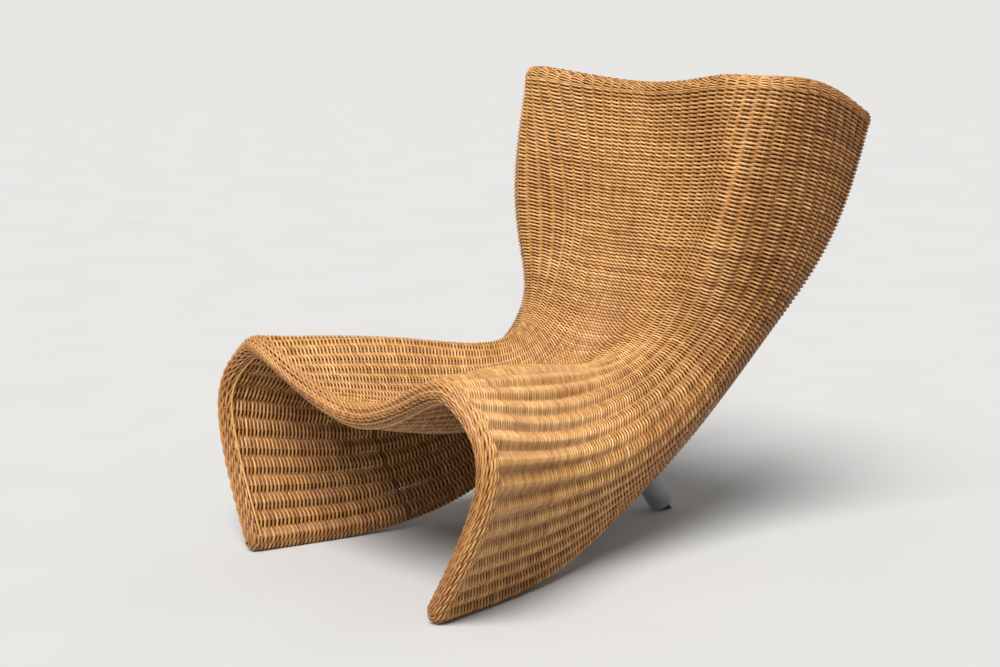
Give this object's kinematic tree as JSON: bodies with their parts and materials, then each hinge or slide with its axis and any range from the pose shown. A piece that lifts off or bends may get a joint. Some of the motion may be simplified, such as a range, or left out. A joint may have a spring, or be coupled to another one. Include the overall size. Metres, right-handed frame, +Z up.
{
  "type": "woven lounge chair",
  "caption": "Low lounge chair with an arched woven seat that runs into a winged back, on two woven tips and one raked metal leg.",
  "frame": {"origin": "on the floor, at the bottom centre of the bounding box", "axes": "+X to the sitter's left, +Y from the front of the seat to the back, +Z up"},
  "size_m": [0.7696, 0.9676, 0.846],
  "materials": {
    "weave": "woven cane, satin",
    "border": "woven cane, satin",
    "frame": "mill finish",
    "hardware": "zinc plated",
    "leg": "satin grey",
    "glide": "matte"
  },
  "bodies": {
    "root": {"seat_skin": "weave", "under_skin": "weave", "front_border": "border", "top_border": "border", "front_hoop": "frame", "seat_hoop": "frame", "waist_hoop": "frame", "lumbar_hoop": "frame", "back_hoop": "frame", "top_hoop": "frame", "edge_rail_left": "frame", "edge_rail_right": "frame", "crest_rail_left": "frame", "crest_rail_right": "frame", "spine_rail_left": "frame", "spine_rail_right": "frame", "leg_plate": "frame", "leg_spacer": "hardware", "leg_washer": "hardware", "leg_bolt": "hardware", "leg": "leg", "leg_glide": "glide"}
  },
  "joints": []
}
